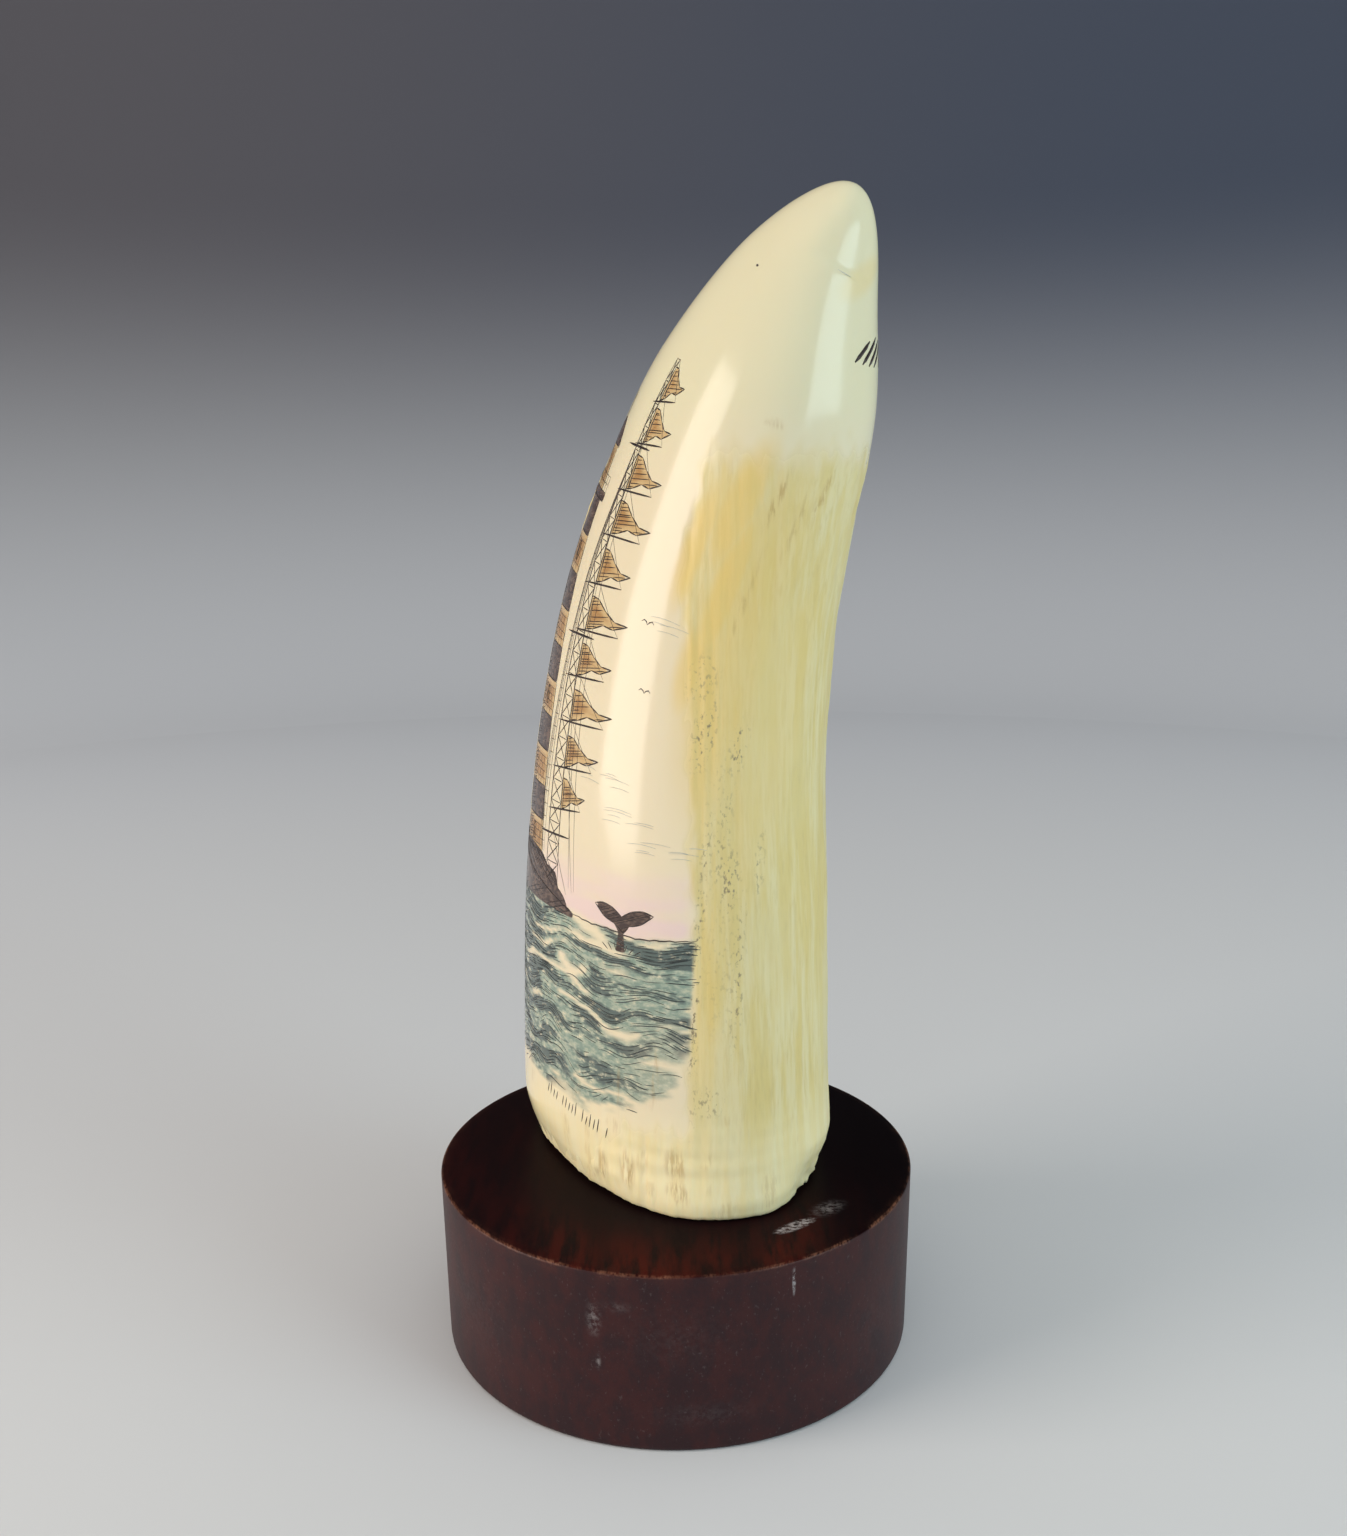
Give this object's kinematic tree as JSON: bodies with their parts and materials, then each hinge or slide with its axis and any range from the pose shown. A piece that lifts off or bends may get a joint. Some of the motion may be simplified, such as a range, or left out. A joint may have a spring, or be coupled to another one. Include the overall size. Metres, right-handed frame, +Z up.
{
  "type": "scrimshaw whale tooth",
  "caption": "Curved, polished whale tooth with an engraved and coloured sea picture, standing tip up on a round dark wooden base.",
  "frame": {"origin": "middle of the underside of the round base", "axes": "+Z up through the base, the tip leans towards +X and -Y, the broad engraved face looks towards -X and -Y"},
  "size_m": [0.076, 0.076, 0.1755],
  "materials": {
    "ivory": "polished cream ivory over a matte, ridged yellow root",
    "wood": "dark reddish brown, satin, with worn edges"
  },
  "bodies": {
    "root": {"whale_tooth": "ivory", "round_base": "wood"}
  },
  "joints": []
}
